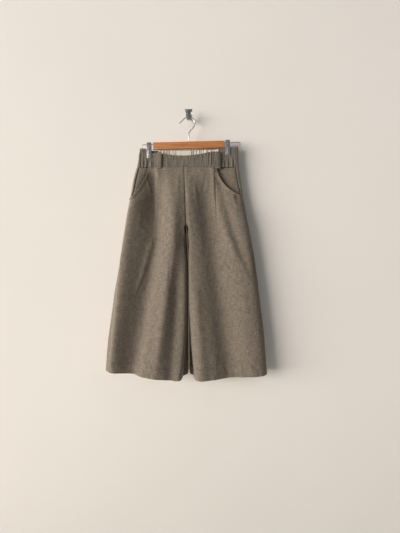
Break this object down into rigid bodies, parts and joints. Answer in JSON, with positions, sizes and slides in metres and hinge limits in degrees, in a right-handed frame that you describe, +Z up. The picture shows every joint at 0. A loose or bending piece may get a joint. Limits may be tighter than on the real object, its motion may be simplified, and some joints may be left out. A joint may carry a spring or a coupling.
{
  "type": "culottes on a clip hanger and wall hook",
  "caption": "Wide cropped trousers with an elasticated waistband, slash pockets and pressed pleats, hung by clips from a wooden hanger on a small wall hook.",
  "frame": {"origin": "centre of the wall hook plate's back face, on the wall", "axes": "+X to the viewer's right, +Y into the wall, +Z up; the garment's front faces -Y"},
  "size_m": [0.5579, 0.1066, 0.9361],
  "materials": {
    "cloth": "matt heathered brown-grey plain weave, slightly slubby",
    "lining": "pale unbleached cotton, matt",
    "label": "woven tape, matt, blank",
    "wood": "orange-brown stain under a satin lacquer",
    "wire_steel": "drawn wire, dull",
    "clip_steel": "stamped plate, dull plating",
    "hook_steel": "stamped plate, dark and dull"
  },
  "bodies": {
    "root": {"front_left": "cloth", "front_right": "cloth", "back_left": "cloth", "back_right": "cloth", "pocket_facing_left": "cloth", "pocket_facing_right": "cloth", "waistband_front": "cloth", "waistband_back": "cloth", "belt_loop_left": "cloth", "belt_loop_right": "cloth", "waistband_lining": "lining", "label": "label", "hanger_bar": "wood", "hanger_hook": "wire_steel", "hanger_rod_left": "wire_steel", "hanger_rod_right": "wire_steel", "clip_left_front": "clip_steel", "clip_left_back": "clip_steel", "clip_left_spring": "clip_steel", "clip_right_front": "clip_steel", "clip_right_back": "clip_steel", "clip_right_spring": "clip_steel", "wall_hook_plate": "hook_steel", "wall_hook_arm": "hook_steel", "wall_hook_strap": "hook_steel", "wall_hook_cap": "hook_steel", "wall_hook_screw": "hook_steel"}
  },
  "joints": []
}
